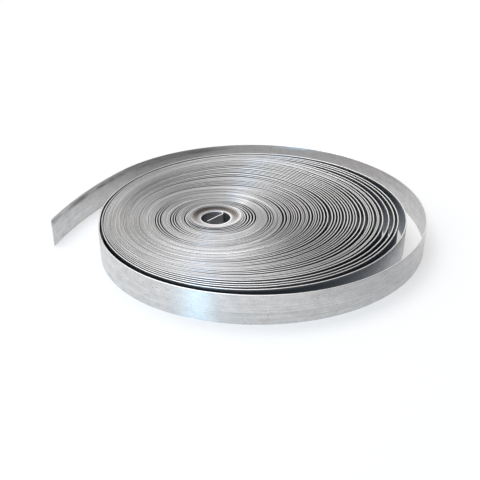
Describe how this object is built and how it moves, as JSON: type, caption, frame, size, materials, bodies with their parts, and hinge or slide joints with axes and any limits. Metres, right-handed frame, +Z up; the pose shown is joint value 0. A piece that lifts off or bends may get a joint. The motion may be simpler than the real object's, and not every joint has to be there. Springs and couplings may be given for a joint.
{
  "type": "galvanized steel strap",
  "caption": "Coil of galvanized steel strap lying flat: tight turns round an open eye, looser turns outside, and a sprung outer turn ending in a free tail.",
  "frame": {"origin": "axis of the coil's eye, at the height of the floor it lies on", "axes": "+Z up along the eye's axis; +X towards the side where the turns spring open; -X towards the strap's free end"},
  "size_m": [0.3199, 0.2939, 0.0272],
  "materials": {
    "zinc_coated_steel": "bright galvanized"
  },
  "bodies": {
    "root": {"strap_coil": "zinc_coated_steel"}
  },
  "joints": []
}
